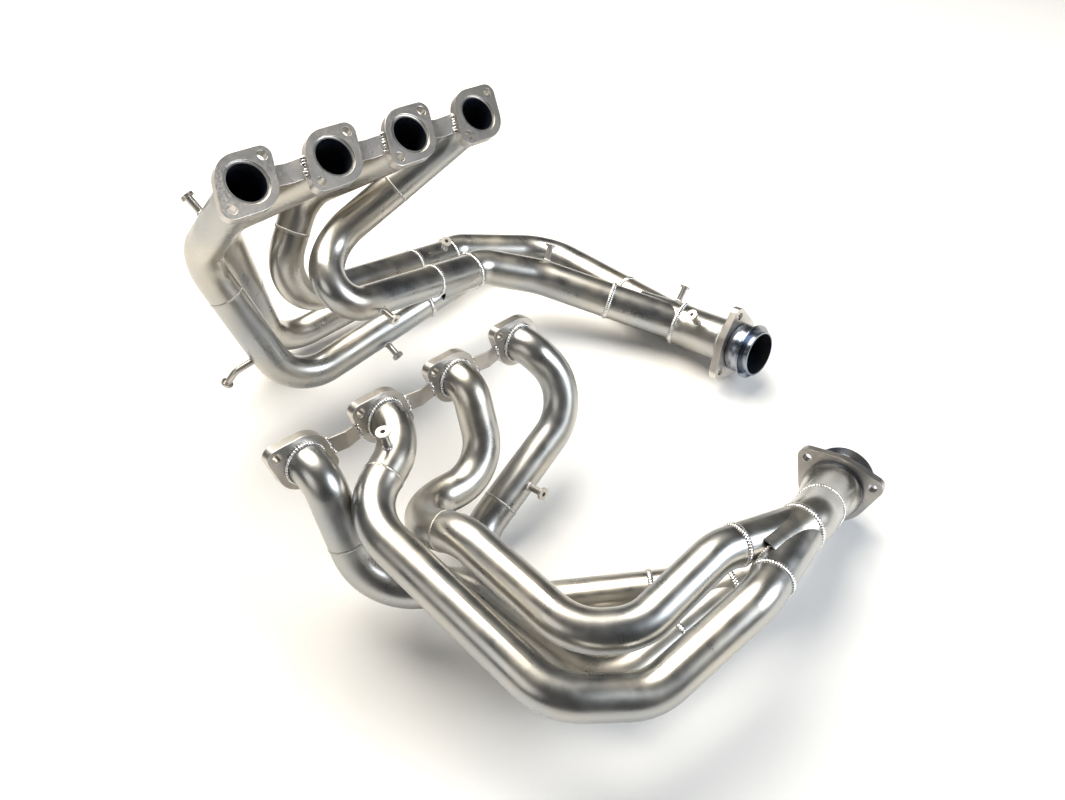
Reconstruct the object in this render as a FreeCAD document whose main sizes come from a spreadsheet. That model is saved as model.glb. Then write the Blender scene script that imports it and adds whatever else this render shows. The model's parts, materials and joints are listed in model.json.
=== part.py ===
import FreeCAD, Part
import math
import os
import Sketcher
from FreeCAD import Placement, Rotation, Vector

# A pair of tubular racing headers for a V8, lying side by side on the floor. Each header is drawn
# in its own engine frame: x along the row of ports from cylinder 1 to 4, z out of the cylinder
# head, origin in the middle of the row on the gasket face. All lengths are millimetres.

doc = FreeCAD.newDocument("racing_headers")

# sizes in the spreadsheet, one row each
SIZES = {
    "portPitch": 94, "primaryOuter": 40, "secondaryOuter": 48, "outletOuter": 57, "tubeWall": 1.5,
    "bendRadius": 60, "sharpRadius": 50, "elbowRadius": 38, "hairpinRadius": 34, "wideRadius": 75,
    "flangeThick": 10, "flangeCore": 29, "flangeLobe": 9.7, "boltCircle": 64.5, "boltHole": 9.4,
    "boltAngle": -37, "portLead": 1.2, "tubeSetback": 1.6,
    "strapThick": 2, "strapWide": 20, "strapFold": 5, "strapRear": 5,
    "beadWide": 5, "beadHigh": 1.1, "filletLeg": 3.2,
    "legLength": 96, "finalLegLength": 112, "blendLength": 60, "mergeBack": 20,
    "finalMergeBack": 17,
    "swivelThick": 10, "swivelCore": 39, "swivelLobe": 11, "swivelCircle": 86, "swivelHole": 9.4,
    "swivelGap": 0.6, "swivelPlay": 1, "collarOuter": 66, "collarThick": 4,
    "neckBulge": 63, "neckLength": 16, "lipOuter": 71, "lipEdge": 1.6, "lipRise": 4,
    "spigotLength": 11, "rimOuter": 59, "rimLength": 2,
    "postOuter": 8, "postLength": 19, "headOuter": 14, "headThick": 3, "threadHole": 5,
    "threadDepth": 9, "rodReach": 22, "rodLength": 18, "rodBend": 38,
    "leftYaw": 45.5, "leftPitch": 8, "leftRoll": -138,
    "rightYaw": 45.5, "rightPitch": 6, "rightRoll": 82.5, "rightAcross": 35, "rightNear": 149,
}

sheet = doc.addObject("Spreadsheet::Sheet", "Sizes")
for row, (alias, value) in enumerate(SIZES.items(), start=1):
    sheet.set("A%d" % row, alias)
    sheet.set("B%d" % row, str(value))
    sheet.setAlias("B%d" % row, alias)

# angles worked out from the sizes
WORKED_OUT = {
    "flangeTangent": "=acos((flangeCore - flangeLobe) / (boltCircle / 2))",
    "swivelTangent": "=acos((swivelCore - swivelLobe) / (swivelCircle / 2))",
    "sideTilt": "=boltAngle * 1deg + flangeTangent",
}
for row, (alias, formula) in enumerate(WORKED_OUT.items(), start=len(SIZES) + 1):
    sheet.set("A%d" % row, alias)
    sheet.set("B%d" % row, formula)
    sheet.setAlias("B%d" % row, alias)
doc.recompute()


def size(alias):
    return float(getattr(sheet, alias))


# Corner points of each tube route, drawn for 94 mm ports and 40 mm tube and grown with them.
# The first two points run straight out of the port; each later corner is rounded by a bend.
DRAWN_PITCH = 94
DRAWN_TUBE = 40
ROUTES = {
    "left_1": [(0, 0, 0), (0, 0, 184), (-80, 162, 275), (211, 126, 215)],
    "left_2": [(0, 0, 0), (0, 0, 31), (-111, -25, 169), (-27, 94, 387), (265, 80, 316)],
    "left_3": [(0, 0, 0), (0, 0, 41), (-4, -24, 161), (-71, 70, 246), (265, 80, 316)],
    "left_4": [(0, 0, 0), (0, 0, 46), (0, 37, 171), (-62, 114, 155), (211, 126, 215)],
    "left_1_4": [(211, 126, 215), (276, 174, 193), (380, 329, 90)],
    "left_2_3": [(265, 80, 316), (384, 139, 276), (380, 329, 90)],
    "left_outlet": [(380, 329, 90), (377, 371, 32)],
    "right_1": [(0, 0, 0), (0, 0, 34), (-140, -124, 80), (-72, -123, 145), (-38, -183, 294),
                (148, -157, 324)],
    "right_2": [(0, 0, 0), (0, 0, 24), (-62, -10, 50), (-134, -27, 81), (-124, -88, 310),
                (-58, -103, 361), (66, -70, 381), (189, -76, 362)],
    "right_3": [(0, 0, 0), (0, 0, 32), (32, -84, 73), (-85, -80, 63), (-73, -49, 151),
                (-69, -78, 285), (-25, -81, 320), (78, -59, 328), (189, -76, 362)],
    "right_4": [(0, 0, 0), (0, 0, 30), (175, -62, 73), (-16, -165, 79), (-28, -179, 158),
                (148, -157, 324)],
    "right_1_4": [(148, -157, 324), (196, -140, 336), (327, -132, 330)],
    "right_2_3": [(189, -76, 362), (327, -132, 330)],
    "right_outlet": [(327, -132, 330), (302, -128, 333)],
}

# which bend radius each rounded corner uses
BENDS = {
    "left_1": ("bendRadius", "bendRadius"),
    "left_2": ("bendRadius", "bendRadius", "bendRadius"),
    "left_3": ("bendRadius", "bendRadius", "bendRadius"),
    "left_4": ("bendRadius", "bendRadius", "hairpinRadius"),
    "right_1": ("elbowRadius", "bendRadius", "bendRadius", "bendRadius"),
    "right_2": ("elbowRadius", "bendRadius", "bendRadius", "bendRadius", "bendRadius",
                "bendRadius"),
    "right_3": ("elbowRadius", "sharpRadius", "sharpRadius", "bendRadius", "bendRadius",
                "bendRadius", "bendRadius"),
    "right_4": ("elbowRadius", "bendRadius", "bendRadius", "bendRadius"),
}

# each primary is welded from two bent pieces: in which straight run, and how far along it
WELDS = {"left_1": (1, 0.16), "left_2": (2, 0.5), "left_3": (2, 0.5), "left_4": (1, 0.5),
         "right_1": (1, 0.85), "right_2": (2, 0.7), "right_3": (3, 0.5), "right_4": (2, 0.85)}

# stand-off posts: what they are welded to, a point on its centreline, the way the post points
POSTS = {
    "left": [("left_1", (-141, 0, 110), (-0.24, -0.97, 0)),
             ("left_4", (12, 117, 171), (0.08, 0.83, -0.55)),
             ("left_1", (44, 147, 249), (0.04, 0.94, -0.35)),
             ("left_merge_2_3", (233, 82, 323), (-0.24, -0.21, -0.95)),
             ("left_1_4", (277, 177, 191), (0.51, -0.73, -0.46)),
             ("left_collector", (373, 309, 106), (0.61, -0.61, -0.5)),
             ("left_outlet", (379, 345, 68), (-0.61, -0.65, -0.46))],
    "right": [("right_2", (-74, -13, 55), (-0.2, 0.98, 0.07)),
              ("right_4", (69, -119, 76), (-0.03, 0.12, 0.99))],
}
ROD = ("left_1", (-98, 114, 248), (-0.9, 0.1, 0.42))

# the third lobe of each swivel flange points this way
THIRD_LOBE = {"left": (0.87, 0.4, 0.26), "right": (-0.16, -0.94, -0.06)}

growth = max(size("portPitch") / DRAWN_PITCH, size("primaryOuter") / DRAWN_TUBE)


def unit(vector):
    return Vector(vector).normalize()


def route_points(name):
    points = [Vector(*corner) * growth for corner in ROUTES[name]]
    if name[-2:] in ("_1", "_2", "_3", "_4") and name.count("_") == 1:
        port_x = (int(name[-1]) - 2.5) * size("portPitch")
        points[0] = Vector(port_x, 0, 0)
        points[1] = Vector(port_x, 0, points[1].z)
    return points


def bent_route(points, radii):
    """Straight runs and arcs that follow the corner points; a bend that would not fit between
    its neighbours is made tighter."""
    turns = []
    for index in range(1, len(points) - 1):
        before = unit(points[index] - points[index - 1])
        after = unit(points[index + 1] - points[index])
        turns.append((before, after, before.getAngle(after)))
    setbacks = [radius * math.tan(turn[2] / 2) for radius, turn in zip(radii, turns)]
    for index in range(len(points) - 1):
        run = (points[index + 1] - points[index]).Length
        ends = [end for end in (index - 1, index) if 0 <= end < len(setbacks)]
        needed = sum(setbacks[end] for end in ends)
        if needed > run - 0.4:
            for end in ends:
                setbacks[end] *= (run - 0.4) / needed
    pieces = []
    start = points[0]
    for index, (before, after, angle) in enumerate(turns):
        corner = points[index + 1]
        bend_start = corner - before * setbacks[index]
        radius = setbacks[index] / math.tan(angle / 2)
        axis = before.cross(after).normalize()
        centre = bend_start + axis.cross(before) * radius
        pieces.append(("run", start, bend_start))
        pieces.append(("bend", bend_start, before, centre, axis, math.degrees(angle)))
        start = corner + after * setbacks[index]
    pieces.append(("run", start, points[-1]))
    return pieces


def disc(centre, normal, radius):
    return Part.Face(Part.Wire(Part.makeCircle(radius, centre, normal)))


def round_bar(pieces, radius):
    """A solid bar along runs and bends."""
    bars = []
    for piece in pieces:
        if piece[0] == "run":
            along = piece[2] - piece[1]
            bars.append(Part.makeCylinder(radius, along.Length, piece[1], along))
        else:
            bars.append(disc(piece[1], piece[2], radius).revolve(piece[3], piece[4], piece[5]))
    bar = bars[0]
    if len(bars) > 1:
        bar = bar.multiFuse(bars[1:]).removeSplitter()
    return bar.Solids[0]


def hollow_tube(pieces, outer, wall):
    walls = []
    for piece in pieces:
        outside = round_bar([piece], outer)
        walls.append(outside.cut(round_bar([piece], outer - wall)))
    tube = walls[0]
    if len(walls) > 1:
        tube = tube.multiFuse(walls[1:]).removeSplitter()
    return tube.Solids[0]


def bead_ring(centre, along, radius):
    """A raised weld bead that lies round a tube."""
    along = unit(along)
    side = unit(along.cross(Vector(0.3, 0.5, 0.8)))
    low = centre + side * radius - along * size("beadWide") / 2
    high = centre + side * radius + along * size("beadWide") / 2
    crown = centre + side * (radius + size("beadHigh"))
    outline = Part.Wire([Part.Arc(low, crown, high).toShape(), Part.makeLine(high, low)])
    return Part.Face(outline).revolve(centre, along, 360)


def fillet_ring(centre, along, radius):
    """The weld in the corner between a flange and its tube; along points down the tube."""
    along = unit(along)
    side = unit(along.cross(Vector(0.3, 0.5, 0.8)))
    corner = centre + side * radius
    foot = corner + side * size("filletLeg")
    top = corner + along * size("filletLeg")
    middle = corner + (side + along) * size("filletLeg") * 0.62
    edges = [Part.makeLine(corner, foot), Part.Arc(foot, middle, top).toShape(),
             Part.makeLine(top, corner)]
    return Part.Face(Part.Wire(edges)).revolve(centre, along, 360)


parts = []


def keep(name, shape):
    feature = doc.addObject("Part::Feature", name)
    feature.Label = name
    feature.Shape = shape
    parts.append(feature)
    return feature


# ---------------------------------------------------------------- bent tubes
primary = size("primaryOuter") / 2
secondary = size("secondaryOuter") / 2
outlet = size("outletOuter") / 2
wall = size("tubeWall")
beads = {"left": [], "right": []}
flange_beads = {"left": [], "right": []}
solid_cores = {}


def leg_start(name, length):
    points = route_points(name)
    back = unit(points[-2] - points[-1])
    return points[-1] + back * length


def split_run(pieces, run_index, share):
    """Cut a route in two part-way along one of its runs."""
    run = pieces[run_index]
    cut = run[1] + (run[2] - run[1]) * share
    first = pieces[:run_index] + [("run", run[1], cut)]
    second = [("run", cut, run[2])] + pieces[run_index + 1:]
    return first, second, cut


def build_primary(name):
    side, number = name.split("_")
    points = route_points(name)
    at_flange = points[0] + Vector(0, 0, size("flangeThick"))
    points[0] = at_flange + Vector(0, 0, size("filletLeg"))
    points[-1] = leg_start(name, size("legLength"))
    pieces = bent_route(points, [size(bend) for bend in BENDS[name]])
    mouth = Vector(at_flange.x, 0, size("tubeSetback"))
    pieces[0] = ("run", mouth, pieces[0][2])
    run_number, share = WELDS[name]
    first, second, cut = split_run(pieces, 2 * run_number, share)
    solid_cores[name] = round_bar(pieces, primary)
    keep("%s_primary_%s_port_side" % (side, number), hollow_tube(first, primary, wall))
    keep("%s_primary_%s_merge_side" % (side, number), hollow_tube(second, primary, wall))
    run = second[0]
    beads[side].append(bead_ring(cut, run[2] - run[1], primary))
    last = pieces[-1]
    beads[side].append(bead_ring(last[2], last[2] - last[1], primary))
    flange_beads[side].append(fillet_ring(at_flange, Vector(0, 0, 1), primary))


for name in BENDS:
    build_primary(name)


# ---------------------------------------------------------------- two-into-one merges
def merge_exit(first, second, back):
    """The point where the merged legs end and the direction they end in."""
    points = route_points(first)
    meeting = points[-1]
    along = unit(unit(meeting - points[-2]) + unit(meeting - route_points(second)[-2]))
    return meeting - along * back, along


def merge_shape(first, second, length, back, tube, end):
    """Two tubes cut into each other with a cone that rounds them off at the exit; returns the
    hollow merge and the same shape filled in."""
    exit_point, along = merge_exit(first, second, back)
    keep_side = Part.makeCylinder(size("legLength") * 3, size("legLength") * 3, exit_point, -along)

    def filled(less):
        legs = []
        for name in (first, second):
            start = leg_start(name, length)
            meeting = route_points(name)[-1]
            legs.append(Part.makeCylinder(tube - less, length, start, meeting - start))
        cone_start = exit_point - along * size("blendLength")
        cone = Part.makeCone(tube - less - 2, end - less, size("blendLength"), cone_start, along)
        return legs[0].multiFuse([legs[1].common(keep_side), cone]).common(keep_side)

    outside = filled(0)
    return outside.cut(filled(wall)).Solids[0], outside


MERGES = {
    "left_merge_1_4": ("left_1", "left_4", "left_1_4"),
    "left_merge_2_3": ("left_2", "left_3", "left_2_3"),
    "right_merge_1_4": ("right_1", "right_4", "right_1_4"),
    "right_merge_2_3": ("right_2", "right_3", "right_2_3"),
}
for label, (first, second, after) in MERGES.items():
    side = label.split("_")[0]
    shape, solid_cores[label] = merge_shape(first, second, size("legLength"), size("mergeBack"),
                                            primary, secondary)
    keep(label, shape)
    exit_point, along = merge_exit(first, second, size("mergeBack"))
    beads[side].append(bead_ring(exit_point + along * size("beadWide") / 2, along, secondary))
    points = [exit_point + along * size("beadWide")] + route_points(after)
    points[-1] = leg_start(after, size("finalLegLength"))
    radii = [size("elbowRadius")] + [size("wideRadius")] * (len(points) - 3)
    pieces = bent_route(points, radii)
    pieces[0] = ("run", exit_point, pieces[0][2])
    solid_cores[after] = round_bar(pieces, secondary)
    keep(label.replace("merge", "secondary"), hollow_tube(pieces, secondary, wall))
    beads[side].append(bead_ring(points[-1], points[-1] - points[-2], secondary))


# ---------------------------------------------------------------- final collectors and outlets
outlet_rear = {}
outlet_along = {}
left_exit, left_along = merge_exit("left_1_4", "left_2_3", size("finalMergeBack"))
shape, solid_cores["left_collector"] = merge_shape(
    "left_1_4", "left_2_3", size("finalLegLength"), size("finalMergeBack"), secondary, outlet)
keep("left_collector", shape)
beads["left"].append(bead_ring(left_exit + left_along * size("beadWide") / 2, left_along, outlet))
meeting, flange_rear = route_points("left_outlet")
outlet_rear["left"] = flange_rear
outlet_along["left"] = unit(flange_rear - meeting)
neck_lead = size("collarThick") + size("swivelPlay")
pipe_end = flange_rear - outlet_along["left"] * neck_lead
pieces = bent_route([left_exit, meeting, pipe_end], [size("bendRadius")])
solid_cores["left_outlet"] = round_bar(pieces, outlet)
keep("left_outlet_pipe", hollow_tube(pieces, outlet, wall))
beads["left"].append(bead_ring(pipe_end - outlet_along["left"] * size("beadWide") / 2,
                               outlet_along["left"], outlet))

meeting, flange_rear = route_points("right_outlet")
outlet_rear["right"] = flange_rear
right_exit, outlet_along["right"] = merge_exit("right_1_4", "right_2_3", 0)
right_back = (right_exit - flange_rear).dot(outlet_along["right"]) + neck_lead
outlet_rear["right"] = right_exit - outlet_along["right"] * (right_back - neck_lead)
shape, solid_cores["right_collector"] = merge_shape(
    "right_1_4", "right_2_3", size("finalLegLength"), right_back, secondary,
    size("collarOuter") / 2 - 1)
keep("right_collector", shape)

for side in ("left", "right"):
    keep(side + "_joint_beads", Part.makeCompound(beads[side]))
    keep(side + "_flange_beads", Part.makeCompound(flange_beads[side]))


# ---------------------------------------------------------------- stand-off posts
def post_head(seat, along):
    """A disc head with a threaded hole, on the end of a stem; returns the head and the hole."""
    head = Part.makeCylinder(size("headOuter") / 2, size("headThick"), seat, along)
    top = seat + along * size("headThick")
    return head, Part.makeCylinder(size("threadHole") / 2, size("threadDepth"), top, -along)


def post(core_name, point, along):
    """A round stand-off post seated on the wall of a tube."""
    point = Vector(*point) * growth
    along = unit(Vector(*along))
    core = solid_cores[core_name]
    beam = Part.makeLine(point, point + along * size("outletOuter") * 2)
    skin = max((vertex.Point - point).dot(along) for vertex in beam.common(core).Vertexes)
    reach = skin + size("postLength")
    stem = Part.makeCylinder(size("postOuter") / 2, reach, point, along)
    head, hole = post_head(point + along * reach, along)
    return stem.fuse(head).cut(hole).cut(core).Solids[0]


def bent_rod(core_name, point, along):
    """A longer rod with a bend and the same head."""
    point = Vector(*point) * growth
    along = unit(Vector(*along))
    corner = point + along * (primary + size("rodReach"))
    sideways = unit(along.cross(Vector(0, 0.4, 0.9)))
    turned = Rotation(sideways, size("rodBend")).multVec(along)
    end = corner + turned * size("rodLength")
    stem = round_bar(bent_route([point, corner, end], [size("postOuter") * 1.5]),
                     size("postOuter") / 2)
    head, hole = post_head(end, turned)
    return stem.fuse(head).cut(hole).cut(solid_cores[core_name]).Solids[0]


for side, places in POSTS.items():
    keep(side + "_posts", Part.makeCompound([post(*place) for place in places]))
keep("left_bent_rod", bent_rod(*ROD))


# ---------------------------------------------------------------- plates and turned parts
def origin_plane(body, role):
    return [item for item in body.Origin.OriginFeatures if item.Role == role][0]


def new_body(name):
    body = doc.addObject("PartDesign::Body", name)
    body.Label = name
    return body


def new_sketch(body, name, role):
    sketch = body.newObject("Sketcher::SketchObject", body.Name + "_" + name)
    sketch.AttachmentSupport = [(origin_plane(body, role), "")]
    sketch.MapMode = "FlatFace"
    return sketch


def tie_point(sketch, geometry, position, x, y):
    """Hold a point at two distances from the sketch's origin, both given as expressions."""
    for kind, expression in (("DistanceX", x), ("DistanceY", y)):
        here = sketch.getPoint(geometry, position)
        value = here.x if kind == "DistanceX" else here.y
        index = sketch.addConstraint(
            Sketcher.Constraint(kind, -1, 1, geometry, position, value))
        sketch.setExpression("Constraints[%d]" % index, expression)


def draw_polygon(sketch, corners):
    count = len(corners)
    first = sketch.GeometryCount
    spots = [Vector(40 * math.cos(math.tau * i / count), 40 * math.sin(math.tau * i / count), 0)
             for i in range(count)]
    for i in range(count):
        sketch.addGeometry(Part.LineSegment(spots[i], spots[(i + 1) % count]))
    for i in range(count):
        following = first + (i + 1) % count
        sketch.addConstraint(Sketcher.Constraint("Coincident", first + i, 2, following, 1))
    for i, (x, y) in enumerate(corners):
        tie_point(sketch, first + i, 1, x, y)


def draw_circle(sketch, x, y, radius):
    index = sketch.addGeometry(Part.Circle(Vector(10, 10, 0), Vector(0, 0, 1), 5))
    tie_point(sketch, index, 3, x, y)
    held = sketch.addConstraint(Sketcher.Constraint("Radius", index, 5))
    sketch.setExpression("Constraints[%d]" % held, radius)


def pad(body, sketch, length, midplane=False):
    feature = body.newObject("PartDesign::Pad", sketch.Name + "_pad")
    feature.Profile = sketch
    feature.Midplane = midplane
    feature.setExpression("Length", length)
    sketch.Visibility = False
    return feature


def pocket(body, sketch, length, midplane=False):
    feature = body.newObject("PartDesign::Pocket", sketch.Name + "_pocket")
    feature.Profile = sketch
    feature.Reversed = not midplane
    feature.Midplane = midplane
    feature.setExpression("Length", length)
    sketch.Visibility = False
    return feature


def lobed_plate(name, core, lobe, circle_radius, tangent, thick, angles):
    """A plate: a round core and round lobes at the bolt holes, joined by straight sides."""
    body = new_body(name)
    core_sketch = new_sketch(body, "core", "XY_Plane")
    draw_circle(core_sketch, "0", "0", core)
    pad(body, core_sketch, thick)
    web_sketch = new_sketch(body, "webs", "XY_Plane")
    lobe_sketch = new_sketch(body, "lobes", "XY_Plane")
    for angle in angles:
        corners = []
        for sign, order in (("+", (core, lobe)), ("-", (lobe, core))):
            turned = "(%s %s %s)" % (angle, sign, tangent)
            for radius in order:
                centre = "0" if radius == core else circle_radius
                corners.append(("%s * cos(%s) + %s * cos%s" % (centre, angle, radius, turned),
                                "%s * sin(%s) + %s * sin%s" % (centre, angle, radius, turned)))
        draw_polygon(web_sketch, corners)
        draw_circle(lobe_sketch, "%s * cos(%s)" % (circle_radius, angle),
                    "%s * sin(%s)" % (circle_radius, angle), lobe)
    pad(body, web_sketch, thick)
    pad(body, lobe_sketch, thick)
    return body


def drill(body, name, centres, radius, depth):
    sketch = new_sketch(body, name, "XY_Plane")
    for x, y in centres:
        draw_circle(sketch, x, y, radius)
    return pocket(body, sketch, depth)


def bolt_centres(circle_radius, angles):
    return [("%s * cos(%s)" % (circle_radius, angle), "%s * sin(%s)" % (circle_radius, angle))
            for angle in angles]


parts_at = []


def place(body, placement):
    parts.append(body)
    parts_at.append((body, placement))


def port_x(number):
    return (number - 2.5) * size("portPitch")


def build_port_flange(side, number):
    angles = ["Sizes.boltAngle * 1deg", "(Sizes.boltAngle + 180) * 1deg"]
    body = lobed_plate("%s_port_flange_%d" % (side, number), "Sizes.flangeCore",
                       "Sizes.flangeLobe", "Sizes.boltCircle / 2", "Sizes.flangeTangent",
                       "Sizes.flangeThick", angles)
    through = "Sizes.flangeThick"
    drill(body, "bore", [("0", "0")], "Sizes.primaryOuter / 2", through)
    drill(body, "seat", [("0", "0")], "Sizes.primaryOuter / 2 + Sizes.portLead",
          "Sizes.tubeSetback")
    drill(body, "bolts", bolt_centres("Sizes.boltCircle / 2", angles), "Sizes.boltHole / 2",
          through)
    place(body, (side, Placement(Vector(port_x(number), 0, 0), Rotation())))


def build_strap(side, number):
    """A bent strip between two neighbouring flanges, trimmed to their slanted sides."""
    body = new_body("%s_strap_%d" % (side, number))
    reach = "(Sizes.portPitch / 2 - Sizes.flangeCore + 10)"
    low = "Sizes.strapRear"
    fold = "(Sizes.strapRear + Sizes.strapFold)"
    sketch = new_sketch(body, "fold", "XZ_Plane")
    draw_polygon(sketch, [("-" + reach, low), ("0", fold), (reach, low),
                          (reach, low + " + Sizes.strapThick"),
                          ("0", fold + " + Sizes.strapThick"),
                          ("-" + reach, low + " + Sizes.strapThick")])
    pad(body, sketch, "Sizes.strapWide", midplane=True)
    trims = new_sketch(body, "trims", "XY_Plane")
    for sign in ("", "-"):
        corners = []
        for edge in ("1", "-1"):
            y = "%s * (Sizes.strapWide / 2 + 2)" % edge
            x = ("Sizes.portPitch / 2 - (Sizes.flangeCore + %s * sin(Sizes.sideTilt))"
                 " / cos(Sizes.sideTilt)" % y)
            corners.append(("%s1 * (%s)" % (sign, x), "%s1 * %s" % (sign, y)))
        far = "%s1 * (%s + 3)" % (sign, reach)
        corners.append((far, "%s1 * (0 - 1) * (Sizes.strapWide / 2 + 2)" % sign))
        corners.append((far, "%s1 * (Sizes.strapWide / 2 + 2)" % sign))
        draw_polygon(trims, corners)
    pocket(body, trims, "Sizes.flangeThick * 4", midplane=True)
    middle = (port_x(number) + port_x(number + 1)) / 2
    place(body, (side, Placement(Vector(middle, 0, 0), Rotation())))


def outlet_frame(side):
    along = outlet_along[side]
    toward = Vector(*THIRD_LOBE[side])
    across = unit(toward - along * toward.dot(along))
    turn = Rotation(across, along.cross(across), along, "ZXY")
    return Placement(outlet_rear[side], turn)


def build_swivel_flange(side):
    angles = ["0deg", "120deg", "240deg"]
    body = lobed_plate(side + "_swivel_flange", "Sizes.swivelCore", "Sizes.swivelLobe",
                       "Sizes.swivelCircle / 2", "Sizes.swivelTangent", "Sizes.swivelThick",
                       angles)
    drill(body, "bore", [("0", "0")], "Sizes.outletOuter / 2 + Sizes.swivelGap",
          "Sizes.swivelThick")
    drill(body, "bolts", bolt_centres("Sizes.swivelCircle / 2", angles),
          "Sizes.swivelHole / 2", "Sizes.swivelThick")
    place(body, (side, outlet_frame(side)))


def build_neck(side):
    """The formed end of the outlet: swollen neck, flared lip and plain spigot, turned about
    the outlet's axis."""
    body = new_body(side + "_outlet_neck")
    lead = "(0 - Sizes.collarThick - Sizes.swivelPlay)"
    bore = "Sizes.outletOuter / 2 - Sizes.tubeWall"
    pipe = "Sizes.outletOuter / 2"
    face = "Sizes.swivelThick + Sizes.swivelPlay"
    bulge = "Sizes.neckBulge / 2"
    end = face + " + Sizes.neckLength"
    lip = end + " + Sizes.lipRise"
    tip = lip + " + Sizes.spigotLength"
    profile = [(bore, lead)]
    if side == "right":
        profile += [("Sizes.collarOuter / 2", lead), ("Sizes.collarOuter / 2",
                                                      "0 - Sizes.swivelPlay"),
                    (pipe, "0 - Sizes.swivelPlay")]
    else:
        profile += [(pipe, lead)]
    profile += [
        (pipe, face), (bulge + " - 1.2", face), (bulge + " - 0.3", face + " + 1.6"),
        (bulge, face + " + Sizes.neckLength * 0.35"),
        (bulge + " - 0.2", face + " + Sizes.neckLength * 0.6"),
        (bulge + " - 1", face + " + Sizes.neckLength * 0.85"), (bulge + " - 1.2", end),
        ("Sizes.lipOuter / 2", lip), ("Sizes.lipOuter / 2", lip + " + Sizes.lipEdge"),
        (pipe, lip + " - Sizes.lipRise / 2"), (pipe, tip + " - Sizes.rimLength"),
        ("Sizes.rimOuter / 2", tip + " - Sizes.rimLength * 0.75"),
        ("Sizes.rimOuter / 2", tip + " - Sizes.rimLength * 0.25"), (pipe, tip), (bore, tip)]
    sketch = new_sketch(body, "profile", "XZ_Plane")
    draw_polygon(sketch, profile)
    turned = body.newObject("PartDesign::Revolution", body.Name + "_turned")
    turned.Profile = sketch
    turned.ReferenceAxis = (sketch, ["V_Axis"])
    turned.Angle = 360
    sketch.Visibility = False
    place(body, (side, outlet_frame(side)))


for side in ("left", "right"):
    for number in range(1, 5):
        build_port_flange(side, number)
    for number in range(1, 4):
        build_strap(side, number)
    build_swivel_flange(side)
    build_neck(side)
doc.recompute()


# ---------------------------------------------------------------- lay both headers on the floor
def side_of(part):
    return part.Label.split("_")[0]


frames = {}
for side in ("left", "right"):
    turn = Rotation(size(side + "Yaw"), size(side + "Pitch"), size(side + "Roll"))
    frames[side] = Placement(Vector(), turn)
frames["right"].Base = Vector(size("rightAcross"), -size("rightNear"), 0) * growth

own_frames = dict((body.Name, placement) for body, placement in parts_at)


def lay_parts():
    for part in parts:
        local = own_frames[part.Name][1] if part.Name in own_frames else Placement()
        part.Placement = frames[side_of(part)] * local


def reach_of(side_parts):
    box = side_parts[0].Shape.optimalBoundingBox(False, False)
    for part in side_parts[1:]:
        box.add(part.Shape.optimalBoundingBox(False, False))
    return box


lay_parts()
boxes = {}
for side, frame in frames.items():
    boxes[side] = reach_of([part for part in parts if side_of(part) == side])
    frame.Base = frame.Base - Vector(0, 0, boxes[side].ZMin)
both = boxes["left"].united(boxes["right"])
for frame in frames.values():
    frame.Base = frame.Base - Vector(both.Center.x, both.Center.y, 0)
lay_parts()
doc.recompute()

# ---------------------------------------------------------------- checks and files
for item in doc.Objects:
    if "Invalid" in item.State or "Error" in item.State:
        raise RuntimeError("%s did not recompute" % item.Label)
os.makedirs("parts", exist_ok=True)
for part in parts:
    if part.Shape.isNull() or not part.Shape.isValid():
        raise RuntimeError("%s has no valid shape" % part.Label)
    part.Shape.exportStep(os.path.join("parts", part.Label + ".step"))
print("%d parts written" % len(parts))
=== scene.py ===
import json
import math
import random

import bpy
import numpy as np
from mathutils import Matrix, Vector
from mathutils.bvhtree import BVHTree


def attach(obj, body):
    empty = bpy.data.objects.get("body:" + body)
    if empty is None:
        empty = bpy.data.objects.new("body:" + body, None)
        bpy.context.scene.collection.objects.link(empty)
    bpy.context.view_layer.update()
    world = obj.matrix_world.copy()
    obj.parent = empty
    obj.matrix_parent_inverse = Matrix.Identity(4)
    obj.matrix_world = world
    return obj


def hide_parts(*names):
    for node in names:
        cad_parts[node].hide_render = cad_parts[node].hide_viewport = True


# Two racing headers lying on a pale floor. Lengths are metres.

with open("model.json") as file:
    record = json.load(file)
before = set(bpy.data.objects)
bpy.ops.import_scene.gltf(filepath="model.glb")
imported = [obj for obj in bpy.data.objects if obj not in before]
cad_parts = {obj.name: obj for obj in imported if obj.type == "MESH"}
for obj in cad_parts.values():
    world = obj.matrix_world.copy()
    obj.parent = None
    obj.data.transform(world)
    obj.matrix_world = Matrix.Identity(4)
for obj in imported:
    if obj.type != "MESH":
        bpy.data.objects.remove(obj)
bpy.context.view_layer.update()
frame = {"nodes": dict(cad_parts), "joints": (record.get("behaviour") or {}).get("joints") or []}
sides = ("left", "right")
sameSpot = 0.000005  # vertices nearer than this are one
touchGap = 0.0003  # a tube and a weld ring nearer than this touch


def deselectAll():
    bpy.ops.object.select_all(action="DESELECT")


def pick(piece):
    deselectAll()
    piece.select_set(True)
    bpy.context.view_layer.objects.active = piece


def vertexArray(piece):
    spots = np.zeros(len(piece.data.vertices) * 3)
    piece.data.vertices.foreach_get("co", spots)
    return spots.reshape(-1, 3)


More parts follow.
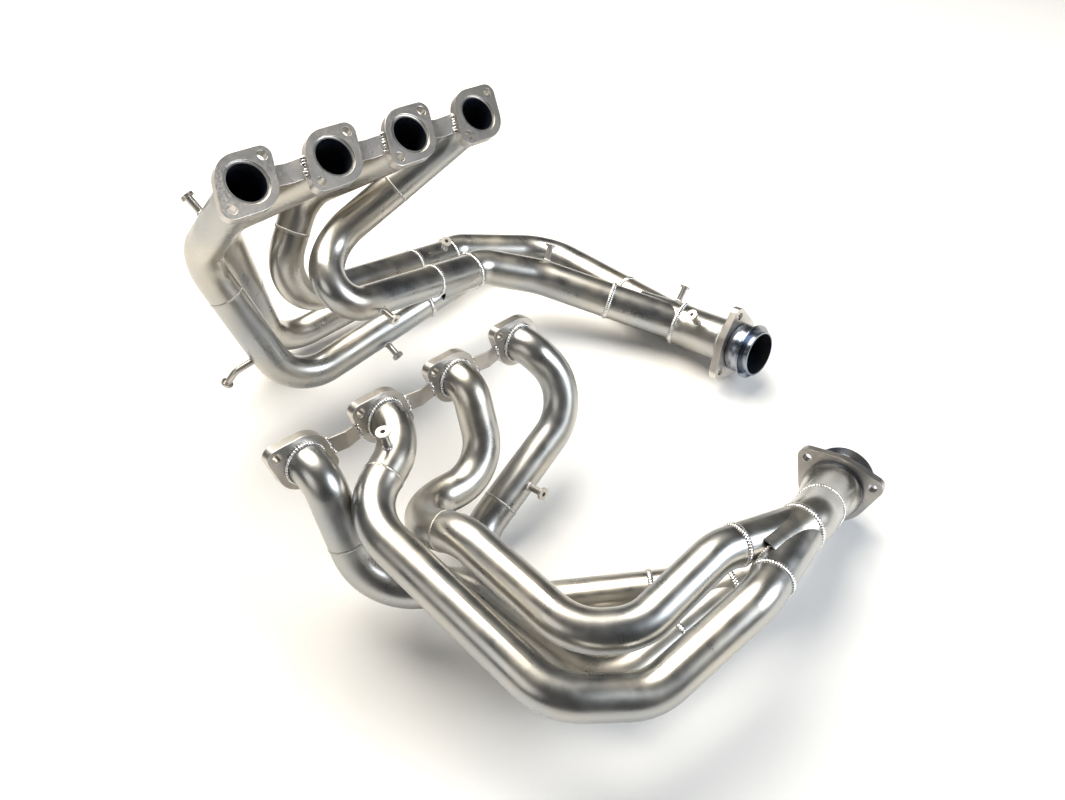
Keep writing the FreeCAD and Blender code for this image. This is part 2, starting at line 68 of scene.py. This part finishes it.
# ---- finishes
steelTube = {
    "warm": (0.53, 0.50, 0.445), "cool": (0.38, 0.39, 0.395), "patchSize": 0.09,
    "roughLow": 0.25, "roughHigh": 0.38, "grainSize": 0.0011, "grainDepth": 0.025,
}
weldSteel = {
    "bright": (0.80, 0.79, 0.77), "dull": (0.50, 0.50, 0.52), "patchSize": 0.006,
    "roughLow": 0.16, "roughHigh": 0.34,
}
plateSteel = {
    "light": (0.64, 0.60, 0.555), "dark": (0.47, 0.455, 0.44), "patchSize": 0.03,
    "roughLow": 0.28, "roughHigh": 0.44, "lineSize": 0.0009, "lineDepth": 0.05,
}
neckSteel = {
    "blue": (0.15, 0.18, 0.24), "grey": (0.30, 0.32, 0.36), "straw": (0.42, 0.40, 0.37),
    "patchSize": 0.06, "roughLow": 0.2, "roughHigh": 0.32,
}
# painted shade for the inside of the bores: dark navy and brown patches standing in for the
# shade deep in each bore
boreShade = {
    "navy": (0.035, 0.048, 0.085), "brown": (0.075, 0.07, 0.07), "patchSize": 0.02,
    "roughLow": 0.24, "roughHigh": 0.42,
}


class Finish:
    def __init__(self, name):
        self.material = bpy.data.materials.new(name)
        self.material.use_nodes = True
        self.tree = self.material.node_tree
        self.shader = self.tree.nodes["Principled BSDF"]
        self.where = self.add("ShaderNodeTexCoord").outputs["Object"]

    def add(self, kind):
        return self.tree.nodes.new(kind)

    def join(self, start, end):
        self.tree.links.new(start, end)

    def noise(self, grain, detail=3.0, stretch=None):
        texture = self.add("ShaderNodeTexNoise")
        texture.inputs["Scale"].default_value = 1 / grain
        texture.inputs["Detail"].default_value = detail
        start = self.where
        if stretch:
            mapping = self.add("ShaderNodeMapping")
            mapping.inputs["Scale"].default_value = stretch[0]
            mapping.inputs["Rotation"].default_value = stretch[1]
            self.join(start, mapping.inputs["Vector"])
            start = mapping.outputs["Vector"]
        self.join(start, texture.inputs["Vector"])
        return texture.outputs["Fac"]

    def ramp(self, fac, stops):
        node = self.add("ShaderNodeValToRGB")
        while len(node.color_ramp.elements) < len(stops):
            node.color_ramp.elements.new(0.5)
        for element, (place, colour) in zip(node.color_ramp.elements, stops):
            element.position = place
            element.color = (*colour, 1) if len(colour) == 3 else colour
        self.join(fac, node.inputs["Fac"])
        return node.outputs["Color"]

    def spread(self, fac, low, high):
        node = self.add("ShaderNodeMapRange")
        node.inputs["From Min"].default_value = 0.3
        node.inputs["From Max"].default_value = 0.7
        node.inputs["To Min"].default_value = low
        node.inputs["To Max"].default_value = high
        self.join(fac, node.inputs["Value"])
        return node.outputs["Result"]

    def bump(self, height, strength, distance):
        node = self.add("ShaderNodeBump")
        node.inputs["Strength"].default_value = strength
        node.inputs["Distance"].default_value = distance
        self.join(height, node.inputs["Height"])
        self.join(node.outputs["Normal"], self.shader.inputs["Normal"])

    def set(self, socket, value):
        self.shader.inputs[socket].default_value = value


def makeTubeSteel():
    finish = Finish("satinTubeSteel")
    finish.set("Metallic", 1.0)
    patches = finish.noise(steelTube["patchSize"], 5.0)
    colour = finish.ramp(patches, [(0.36, steelTube["cool"]), (0.64, steelTube["warm"])])
    finish.join(colour, finish.shader.inputs["Base Color"])
    smears = finish.noise(steelTube["patchSize"] / 4, 6.0)
    finish.join(finish.spread(smears, steelTube["roughLow"], steelTube["roughHigh"]),
                finish.shader.inputs["Roughness"])
    finish.bump(finish.noise(steelTube["grainSize"], 2.0), steelTube["grainDepth"], 0.0004)
    return finish.material


def makeWeldSteel():
    finish = Finish("brightWeldSteel")
    finish.set("Metallic", 1.0)
    patches = finish.noise(weldSteel["patchSize"], 4.0)
    finish.join(finish.ramp(patches, [(0.35, weldSteel["dull"]), (0.55, weldSteel["bright"])]),
                finish.shader.inputs["Base Color"])
    finish.join(finish.spread(patches, weldSteel["roughLow"], weldSteel["roughHigh"]),
                finish.shader.inputs["Roughness"])
    finish.bump(finish.noise(weldSteel["patchSize"] / 8, 2.0), 0.15, 0.0003)
    return finish.material


def makePlateSteel(name, turn):
    finish = Finish(name)
    finish.set("Metallic", 1.0)
    patches = finish.noise(plateSteel["patchSize"], 4.0)
    finish.join(finish.ramp(patches, [(0.35, plateSteel["dark"]), (0.65, plateSteel["light"])]),
                finish.shader.inputs["Base Color"])
    lines = finish.noise(plateSteel["lineSize"], 2.0, ((1, 0.04, 1), turn))
    finish.join(finish.spread(lines, plateSteel["roughLow"], plateSteel["roughHigh"]),
                finish.shader.inputs["Roughness"])
    finish.bump(lines, plateSteel["lineDepth"], 0.0002)
    return finish.material


def makeNeckSteel():
    finish = Finish("heatTintedSteel")
    finish.set("Metallic", 1.0)
    patches = finish.noise(neckSteel["patchSize"], 4.0)
    finish.join(finish.ramp(patches, [(0.3, neckSteel["blue"]), (0.5, neckSteel["grey"]),
                                      (0.72, neckSteel["straw"])]),
                finish.shader.inputs["Base Color"])
    finish.join(finish.spread(patches, neckSteel["roughLow"], neckSteel["roughHigh"]),
                finish.shader.inputs["Roughness"])
    finish.bump(finish.noise(steelTube["grainSize"], 2.0), 0.05, 0.0004)
    return finish.material


# painted bore shade: a dark material laid on the inner faces of each bore
def makeBoreShade():
    finish = Finish("boreShade")
    finish.set("Metallic", 0.7)
    patches = finish.noise(boreShade["patchSize"], 5.0)
    finish.join(finish.ramp(patches, [(0.4, boreShade["navy"]), (0.7, boreShade["brown"])]),
                finish.shader.inputs["Base Color"])
    finish.join(finish.spread(patches, boreShade["roughLow"], boreShade["roughHigh"]),
                finish.shader.inputs["Roughness"])
    finish.bump(finish.noise(boreShade["patchSize"] / 15, 3.0), 0.2, 0.0003)
    return finish.material


tubeFinish = makeTubeSteel()
weldFinish = makeWeldSteel()
plateFinish = {"left": makePlateSteel("leftPlateSteel", (0.6, 0.2, 0.9)),
               "right": makePlateSteel("rightPlateSteel", (0.2, 0.9, 0.4))}
neckFinish = makeNeckSteel()
# the dark material below is painted shade for the bores
boreShadeFinish = makeBoreShade()
print("finishes made")


# ---- pieces that follow the frame's own nodes
def bodyOf(node):
    side = node.split("_")[0]
    return side + ("_swivel" if "swivel" in node else "_header")


def copyOfNode(node, finish):
    piece = bpy.data.objects.new("fine_" + node, frame["nodes"][node].data.copy())
    bpy.context.scene.collection.objects.link(piece)
    pick(piece)
    bpy.ops.object.mode_set(mode="EDIT")
    bpy.ops.mesh.select_all(action="SELECT")
    bpy.ops.mesh.remove_doubles(threshold=sameSpot)
    bpy.ops.object.mode_set(mode="OBJECT")
    piece.data.materials.clear()
    piece.data.materials.append(finish)
    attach(piece, bodyOf(node))
    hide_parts(node)
    return piece


def dress(node, finish):
    piece = frame["nodes"][node]
    piece.data.materials.clear()
    piece.data.materials.append(finish)
    return piece


def smooth(piece, angle):
    pick(piece)
    bpy.ops.object.shade_smooth_by_angle(angle=math.radians(angle))


def roundEdges(piece, width):
    pick(piece)
    bpy.ops.object.mode_set(mode="EDIT")
    bpy.ops.mesh.select_all(action="SELECT")
    bpy.ops.mesh.dissolve_limited(angle_limit=math.radians(0.5))
    bpy.ops.object.mode_set(mode="OBJECT")
    bevel = piece.modifiers.new("edges", "BEVEL")
    bevel.width = width
    bevel.segments = 2
    bevel.limit_method = "ANGLE"
    bevel.angle_limit = math.radians(40)
    bpy.ops.object.modifier_apply(modifier="edges")


# ---- where the welds are, read from the frame's plain bead rings
def fitRing(spots):
    centre = spots.mean(0)
    axis = np.linalg.svd(spots - centre, full_matrices=False)[2][2]
    along = (spots - centre) @ axis
    centre = centre + axis * (along.min() + along.max()) / 2
    outward = spots - centre
    outward = outward - np.outer(outward @ axis, axis)
    return {"centre": centre, "axis": axis, "radius": np.linalg.norm(outward, axis=1).min(),
            "half": (along.max() - along.min()) / 2}


def looseParts(node):
    copy = bpy.data.objects.new("taken", frame["nodes"][node].data.copy())
    bpy.context.scene.collection.objects.link(copy)
    pick(copy)
    bpy.ops.object.mode_set(mode="EDIT")
    bpy.ops.mesh.select_all(action="SELECT")
    bpy.ops.mesh.remove_doubles(threshold=sameSpot)
    bpy.ops.mesh.separate(type="LOOSE")
    bpy.ops.object.mode_set(mode="OBJECT")
    taken = list(bpy.context.selected_objects)
    parts = [vertexArray(part) for part in taken]
    for part in taken:
        bpy.data.objects.remove(part)
    return parts


rings = {side: [fitRing(spots) for spots in looseParts(side + "_joint_beads")] for side in sides}
portRings = {side: [fitRing(spots) for spots in looseParts(side + "_flange_beads")]
             for side in sides}
postSpots = {side: looseParts(side + "_posts") for side in sides}
outletAxis = {}
for joint in frame["joints"]:
    if joint["type"] == "hinge":
        outletAxis[joint["child"].split("_")[0]] = (np.array(joint["pos_m"]),
                                                    np.array(joint["axis"]))
print("weld places read:", {side: len(rings[side]) for side in sides})

# ---- weld beads, laid as rows of overlapping ripples
bead = {"pitch": 0.0026, "long": 0.0024, "wide": 0.0031, "high": 0.0014, "lean": 20,
        "around": 10, "rings": 6, "wobble": 0.00012}
# for each kind of weld: lift off the ring it follows, size against the bead above
laying = {"proud": (-0.0001, 1.1), "ground": (-0.0006, 0.7), "port": (0.0012, 1.1),
          "post": (0.0003, 0.6), "seam": 0.95}
postFoot = {"stem": 0.004, "rise": 0.0006, "slack": 0.0006, "headPast": 0.001}
tack = {"count": 7, "stray": 0.0012, "size": (0.6, 1.1), "inset": 0.0005, "tilt": 0.4}


def addRipple(centre, outward, travel, scale=1.0):
    outward = Vector(outward).normalized()
    travel = Vector(travel)
    travel = (travel - outward * travel.dot(outward)).normalized()
    across = outward.cross(travel)
    turn = Matrix((travel, across, outward)).transposed()
    lean = Matrix.Rotation(math.radians(bead["lean"]), 3, across)
    bpy.ops.mesh.primitive_uv_sphere_add(
        segments=bead["around"], ring_count=bead["rings"], radius=1, location=centre,
        rotation=(lean @ turn).to_euler(),
        scale=(bead["long"] * scale, bead["wide"] * scale, bead["high"] * scale))


def startWeld(name):
    mesh = bpy.data.meshes.new(name)
    piece = bpy.data.objects.new(name, mesh)
    bpy.context.scene.collection.objects.link(piece)
    pick(piece)
    bpy.ops.object.mode_set(mode="EDIT")
    return piece


def layRing(centre, axis, radius, lift, scale=1.0):
    axis = np.array(axis)
    side = np.cross(axis, (0.3, 0.5, 0.8))
    side = side / np.linalg.norm(side)
    count = max(8, round(math.tau * radius / (bead["pitch"] * scale)))
    bpy.ops.mesh.select_all(action="DESELECT")
    addRipple(centre + side * (radius + lift), side, np.cross(axis, side), scale)
    bpy.ops.mesh.spin(steps=count - 1, dupli=True, angle=math.tau * (count - 1) / count,
                      center=centre, axis=axis)


def finishWeld(piece, finish, nodes, seed):
    bpy.ops.mesh.select_all(action="SELECT")
    bpy.ops.transform.vertex_random(offset=bead["wobble"], uniform=1.0, normal=0.0, seed=seed)
    bpy.ops.object.mode_set(mode="OBJECT")
    bpy.ops.object.shade_smooth()
    piece.data.materials.append(finish)
    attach(piece, bodyOf(piece.name))
    if nodes:
        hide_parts(*nodes)


merges = ("merge_1_4", "merge_2_3", "collector")


def touches(ring, node):
    away = vertexArray(frame["nodes"][node]) - ring["centre"]
    along = away @ ring["axis"]
    out = np.linalg.norm(away - np.outer(along, ring["axis"]), axis=1)
    near = ((np.abs(along) < ring["half"] + touchGap)
            & (np.abs(out - ring["radius"]) < touchGap))
    return near.sum() >= 6


def layTubeWelds(side, seed):
    # proud beads at the merges, ground-down ones where two bends of a tube meet
    proud = [ring for ring in rings[side]
             if any(touches(ring, side + "_" + name) for name in merges)]
    ground = [ring for ring in rings[side] if not any(ring is other for other in proud)]
    piece = startWeld(side + "_tube_welds")
    for ring in proud:
        layRing(ring["centre"], ring["axis"], ring["radius"], *laying["proud"])
    finishWeld(piece, weldFinish, [side + "_joint_beads"], seed)
    piece = startWeld(side + "_ground_welds")
    for ring in ground:
        layRing(ring["centre"], ring["axis"], ring["radius"], *laying["ground"])
    finishWeld(piece, tubeFinish, [side + "_joint_beads"], seed + 50)


def layPortWelds(side, seed):
    piece = startWeld(side + "_port_welds")
    for ring in portRings[side]:
        layRing(ring["centre"], ring["axis"], ring["radius"], *laying["port"])
    finishWeld(piece, weldFinish, [side + "_flange_beads"], seed)


# small welds round the foot of each stand-off
def layPostWelds(side, seed):
    piece = startWeld(side + "_post_welds")
    for spots in postSpots[side]:
        middle = spots.mean(0)
        axis = np.linalg.svd(spots - middle, full_matrices=False)[2][0]
        along = (spots - middle) @ axis
        out = np.linalg.norm(spots - middle - np.outer(along, axis), axis=1)
        if along[out > postFoot["stem"] + postFoot["headPast"]].mean() < 0:
            axis, along = -axis, -along
        lowest = along[out < postFoot["stem"] + postFoot["slack"]].min()
        centre = middle + axis * (lowest + postFoot["rise"])
        layRing(centre, axis, postFoot["stem"], *laying["post"])
    finishWeld(piece, weldFinish, [], seed)


# jagged tacks where a strap meets its two flanges
def layStrapTacks(side, seed):
    piece = startWeld(side + "_strap_tacks")
    ports = sorted(portRings[side], key=lambda ring: ring["centre"][0])
    row = ports[3]["centre"] - ports[0]["centre"]
    row = row / np.linalg.norm(row)
    out = ports[0]["axis"] - row * (ports[0]["axis"] @ row)
    out = out / np.linalg.norm(out)
    across = np.cross(out, row)
    dice = random.Random(seed)
    for number in range(1, 4):
        spots = vertexArray(frame["nodes"]["%s_strap_%d" % (side, number)])
        middle = spots.mean(0)
        local = (spots - middle) @ np.column_stack([row, across, out])
        edge = np.abs(local[:, 1]).max() - tack["inset"]
        for end in (-1, 1):
            corners = []
            for flank in (-1, 1):
                group = local[local[:, 1] * flank > edge]
                tip = group[group[:, 0] * end > (group[:, 0] * end).max() - touchGap]
                corners.append((tip[:, 0].mean(), tip[:, 1].mean(),
                                tip[:, 2].min(), tip[:, 2].max()))
            for face in (2, 3):
                for step in range(tack["count"]):
                    share = (step + 0.5) / tack["count"]
                    spot = [corners[0][i] * (1 - share) + corners[1][i] * share
                            for i in (0, 1, face)]
                    spot[0] += end * -dice.uniform(0, tack["stray"])
                    spot[1] += dice.uniform(-tack["stray"], tack["stray"]) / 2
                    here = middle + row * spot[0] + across * spot[1] + out * spot[2]
                    outward = out * (1 if face == 3 else -1) - row * end * tack["tilt"]
                    addRipple(here, outward, across + row * dice.uniform(-1, 1),
                              dice.uniform(*tack["size"]))
    finishWeld(piece, weldFinish, [], seed)


# the seam where the two legs of a merge are cut into each other
seamSpan = {"start": -66, "end": 66, "sample": 0.01, "flare": 1.5}


def legsOf(node, side):
    spots = vertexArray(frame["nodes"][node])
    found = []
    for ring in rings[side]:
        away = spots - ring["centre"]
        along = away @ ring["axis"]
        out = np.linalg.norm(away - np.outer(along, ring["axis"]), axis=1)
        touching = (np.abs(along) < touchGap) & (np.abs(out - ring["radius"]) < touchGap)
        if touching.sum() >= 6:
            found.append(ring)
    return found


def laySeam(node, side):
    legs = legsOf(node, side)
    first, second = legs[0], legs[1]
    between = second["centre"] - first["centre"]
    axes = [first["axis"], second["axis"]]
    spread = np.column_stack([axes[0], -axes[1]])
    reach = np.linalg.lstsq(spread, between, rcond=None)[0]
    meeting = (first["centre"] + axes[0] * reach[0] + second["centre"] + axes[1] * reach[1]) / 2
    backs = [(ring["centre"] - meeting) / np.linalg.norm(ring["centre"] - meeting)
             for ring in (first, second)]
    along = (backs[0] + backs[1]) / np.linalg.norm(backs[0] + backs[1])
    across = np.cross(backs[0], backs[1])
    across = across / np.linalg.norm(across)
    halfAngle = math.acos(np.clip(backs[0] @ backs[1], -1, 1)) / 2
    radius = first["radius"]

    def seamPoint(turn):
        return meeting + across * radius * math.sin(turn) + along * radius * math.cos(turn) / \
            math.sin(halfAngle)

    turn = math.radians(seamSpan["start"])
    while turn < math.radians(seamSpan["end"]):
        here = seamPoint(turn)
        ahead = seamPoint(turn + seamSpan["sample"])
        step = np.linalg.norm(ahead - here) / seamSpan["sample"]
        outward = along * math.cos(turn) + across * math.sin(turn) * seamSpan["flare"]
        addRipple(here, outward, ahead - here, laying["seam"])
        turn += bead["pitch"] / step


def layMergeWelds(side, seed):
    piece = startWeld(side + "_seam_welds")
    for name in merges:
        laySeam(side + "_" + name, side)
    finishWeld(piece, weldFinish, [], seed)


for number, side in enumerate(sides):
    layTubeWelds(side, 11 + number)
    layPortWelds(side, 21 + number)
    layMergeWelds(side, 31 + number)
    layPostWelds(side, 41 + number)
    layStrapTacks(side, 51 + number)
print("welds laid")

# ---- tubes, plates, necks and posts
# how far into each port and outlet the painted bore shade reaches
shadedBore = {"portBore": 0.037, "portDepth": 0.12, "outletBore": 0.054, "outletDepth": 0.13,
        "skin": 0.0002}


# lays the painted bore shade on the faces inside a bore, up to a depth from its mouth
def darkenBore(piece, mouth, bore, depth):
    # a face is inside the bore when the wall straight across from it is one bore away
    spots = [spot.co for spot in piece.data.vertices]
    wall = BVHTree.FromPolygons(spots, [face.vertices for face in piece.data.polygons])
    piece.data.materials.append(boreShadeFinish)
    for face in piece.data.polygons:
        if (face.center - Vector(mouth)).length > depth:
            continue
        start = face.center + face.normal * shadedBore["skin"]
        hit, normal, _, far = wall.ray_cast(start, face.normal, bore * 1.1)
        if hit and far > bore * 0.9 and normal.dot(face.normal) < -0.9:
            face.material_index = 1


for side in sides:
    ports = sorted(portRings[side], key=lambda ring: ring["centre"][0])
    for number in range(1, 5):
        for half in ("port_side", "merge_side"):
            piece = dress("%s_primary_%d_%s" % (side, number, half), tubeFinish)
            if half == "port_side":
                darkenBore(piece, ports[number - 1]["centre"], shadedBore["portBore"],
                           shadedBore["portDepth"])
    for name in merges + ("secondary_1_4", "secondary_2_3"):
        piece = dress("%s_%s" % (side, name), tubeFinish)
        if name == "collector" and side == "right":
            darkenBore(piece, outletAxis[side][0], shadedBore["outletBore"], shadedBore["outletDepth"])
    piece = dress(side + "_outlet_neck", neckFinish)
    darkenBore(piece, outletAxis[side][0], shadedBore["outletBore"], shadedBore["outletDepth"])
piece = dress("left_outlet_pipe", tubeFinish)
darkenBore(piece, outletAxis["left"][0], shadedBore["outletBore"], shadedBore["outletDepth"])

# plates and posts get eased edges: bevel width, and the angle below which faces look smooth
easedEdge = {"port_flange": (0.0006, 20), "swivel_flange": (0.0006, 20),
             "strap": (0.0003, 4), "posts": (0.0003, 20), "bent_rod": (0.0003, 20)}
for node in sorted(frame["nodes"]):
    side = node.split("_")[0]
    for kind, (width, smoothBelow) in easedEdge.items():
        if kind in node:
            piece = copyOfNode(node, plateFinish[side])
            roundEdges(piece, width)
            smooth(piece, smoothBelow)
print("tubes and plates finished")

# ---- floor, light and camera
floorSheet = {"colour": (0.93, 0.93, 0.93), "rough": 0.7, "width": 30.0, "drop": 0.0002}
camera = {"place": (-0.0056, -0.6958, 0.8140), "tilt": 44.0, "lens": 29.41}
lamps = [
    {"name": "overhead", "place": (-0.6, 0.9, 2.2), "wide": 2.2, "power": 98,
     "tint": (1, 0.94, 0.83)},
    {"name": "windowSide", "place": (2.2, -0.6, 1.5), "wide": 1.6, "power": 50,
     "tint": (0.88, 0.94, 1)},
    {"name": "frontFill", "place": (-1.6, -1.8, 1.4), "wide": 1.5, "power": 9,
     "tint": (1, 0.97, 0.92)},
]
lampsAim = Vector((0, 0, 0.1))
skyStrength = 0.08

deselectAll()
bpy.ops.mesh.primitive_plane_add(size=floorSheet["width"], location=(0, 0, -floorSheet["drop"]))
floor = bpy.context.object
floor.name = "floor"
floorMaterial = bpy.data.materials.new("paleFloor")
floorMaterial.use_nodes = True
floorShader = floorMaterial.node_tree.nodes["Principled BSDF"]
floorShader.inputs["Base Color"].default_value = (*floorSheet["colour"], 1)
floorShader.inputs["Roughness"].default_value = floorSheet["rough"]
floor.data.materials.append(floorMaterial)

for lamp in lamps:
    light = bpy.data.lights.new(lamp["name"], "AREA")
    light.shape = "DISK"
    light.size = lamp["wide"]
    light.energy = lamp["power"]
    light.color = lamp["tint"]
    holder = bpy.data.objects.new(lamp["name"], light)
    bpy.context.scene.collection.objects.link(holder)
    holder.location = lamp["place"]
    facing = (lampsAim - holder.location).to_track_quat("-Z", "Y")
    holder.rotation_euler = facing.to_euler()

world = bpy.data.worlds.new("studio")
bpy.context.scene.world = world
world.use_nodes = True
world.node_tree.nodes["Background"].inputs["Color"].default_value = (1, 1, 1, 1)
world.node_tree.nodes["Background"].inputs["Strength"].default_value = skyStrength

lens = bpy.data.cameras.new("view")
lens.lens = camera["lens"]
lens.sensor_width = 36
lens.sensor_fit = "HORIZONTAL"
viewer = bpy.data.objects.new("view", lens)
bpy.context.scene.collection.objects.link(viewer)
viewer.location = camera["place"]
viewer.rotation_euler = (math.radians(camera["tilt"]), 0, 0)
bpy.context.scene.camera = viewer
bpy.context.scene.view_settings.view_transform = "Standard"
print("stage set")
